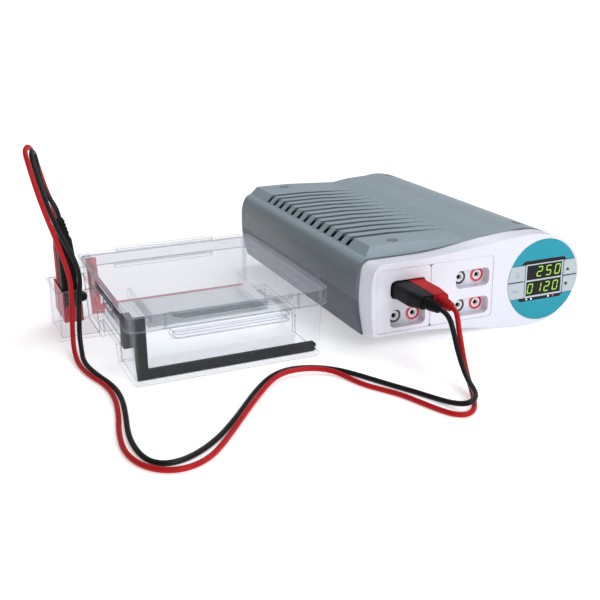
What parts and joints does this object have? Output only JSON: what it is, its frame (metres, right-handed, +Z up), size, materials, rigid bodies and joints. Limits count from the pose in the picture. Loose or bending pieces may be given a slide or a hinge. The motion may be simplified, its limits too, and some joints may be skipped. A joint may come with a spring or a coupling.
{
  "type": "electrophoresis system",
  "caption": "Mains power supply with round control panel and recessed sockets, and a clear gel tank with lid, joined by a black and a red lead.",
  "frame": {"origin": "bottom centre of the box round supply and tank, on the bench", "axes": "+X to the right along the row of tank and supply, +Y to the rear, +Z up; controls and sockets face -Y"},
  "size_m": [0.4839, 0.4436, 0.1807],
  "materials": {
    "shell_white": "satin",
    "cover_grey": "satin",
    "base_grey": "matt",
    "rubber_black": "matt",
    "rubber_red": "matt",
    "steel": "satin",
    "black_plastic": "matt",
    "gloss_black": "gloss",
    "gloss_red": "gloss",
    "cassette_pink": "gloss",
    "insert_white": "satin",
    "teal_panel": "satin",
    "frame_light": "satin",
    "key_blue": "satin",
    "lens_dark": "gloss",
    "lamp": "gloss",
    "board_green": "satin",
    "heat_sink": "satin",
    "capacitor": "gloss",
    "core_steel": "matt",
    "winding": "satin",
    "fuse": "gloss",
    "clear_plastic": "gloss",
    "stage_white": "satin",
    "bus_black": "satin",
    "bus_red": "satin"
  },
  "bodies": {
    "supply_and_tank": {"ps_front_bezel": "shell_white", "socket_plate_left": "shell_white", "socket_plate_right": "shell_white", "ps_top_cover": "cover_grey", "ps_base_tray": "base_grey", "ps_feet": "rubber_black", "reliefs_black": "rubber_black", "lead_black": "rubber_black", "reliefs_red": "rubber_red", "lead_red": "rubber_red", "cover_posts": "steel", "cover_screws": "steel", "rear_panel": "steel", "panel_screws": "steel", "fan_guard": "steel", "inlet_pins": "steel", "plug_pins": "steel", "socket_contacts": "steel", "terminal_sleeves": "steel", "electrode_wires": "steel", "mains_inlet": "black_plastic", "switch_body": "black_plastic", "fan_frame": "black_plastic", "indicator_bars": "black_plastic", "front_cassette": "black_plastic", "black_sockets": "gloss_black", "plugs_black": "gloss_black", "black_terminal": "gloss_black", "terminal_cap": "gloss_black", "red_sockets": "gloss_red", "plugs_red": "gloss_red", "red_terminal": "gloss_red", "rear_cassette": "cassette_pink", "socket_inserts": "insert_white", "panel_carrier": "insert_white", "panel_disc": "teal_panel", "display_frame": "frame_light", "display_lenses": "lens_dark", "status_leds": "lamp", "display_board": "board_green", "main_board": "board_green", "heat_sinks": "heat_sink", "capacitors": "capacitor", "transformer_core": "core_steel", "transformer_winding": "winding", "tank_body": "clear_plastic", "terminal_box": "clear_plastic", "gel_stage": "stage_white", "black_busbar": "bus_black", "red_busbar": "bus_red"},
    "lid": {"tank_lid": "clear_plastic"},
    "tray": {"gel_tray": "clear_plastic"},
    "key_mode_b": {"key_mode": "key_blue"},
    "key_timer_b": {"key_timer": "key_blue"},
    "key_up_b": {"key_up": "key_blue"},
    "key_down_b": {"key_down": "key_blue"},
    "fuse_drawer_b": {"fuse_drawer": "black_plastic", "fuses": "fuse"},
    "rocker": {"power_rocker": "black_plastic"},
    "rotor": {"fan_rotor": "black_plastic"}
  },
  "joints": [
    {"name": "lid_lift", "type": "slide", "parent": "supply_and_tank", "child": "lid", "axis": [0, 0, 1], "range_m": [0, 0.12]},
    {"name": "tray_lift", "type": "slide", "parent": "supply_and_tank", "child": "tray", "axis": [0, 0, 1], "range_m": [0, 0.016]},
    {"name": "key_mode_press", "type": "slide", "parent": "supply_and_tank", "child": "key_mode_b", "axis": [0, 1, 0], "range_m": [0, 0.0007], "stiffness_N_per_m": 900},
    {"name": "key_timer_press", "type": "slide", "parent": "supply_and_tank", "child": "key_timer_b", "axis": [0, 1, 0], "range_m": [0, 0.0007], "stiffness_N_per_m": 900},
    {"name": "key_up_press", "type": "slide", "parent": "supply_and_tank", "child": "key_up_b", "axis": [0, 1, 0], "range_m": [0, 0.0007], "stiffness_N_per_m": 900},
    {"name": "key_down_press", "type": "slide", "parent": "supply_and_tank", "child": "key_down_b", "axis": [0, 1, 0], "range_m": [0, 0.0007], "stiffness_N_per_m": 900},
    {"name": "fuse_drawer_pull", "type": "slide", "parent": "supply_and_tank", "child": "fuse_drawer_b", "axis": [0, 1, 0], "range_m": [0, 0.014]},
    {"name": "power_rocker_tilt", "type": "hinge", "parent": "supply_and_tank", "child": "rocker", "pos_m": [0.103, 0.1425, 0.046], "axis": [1, 0, 0], "range_deg": [0, 16]},
    {"name": "fan_spin", "type": "hinge", "parent": "supply_and_tank", "child": "rotor", "pos_m": [0.144, 0.132, 0.051], "axis": [0, 1, 0], "continuous": true}
  ]
}
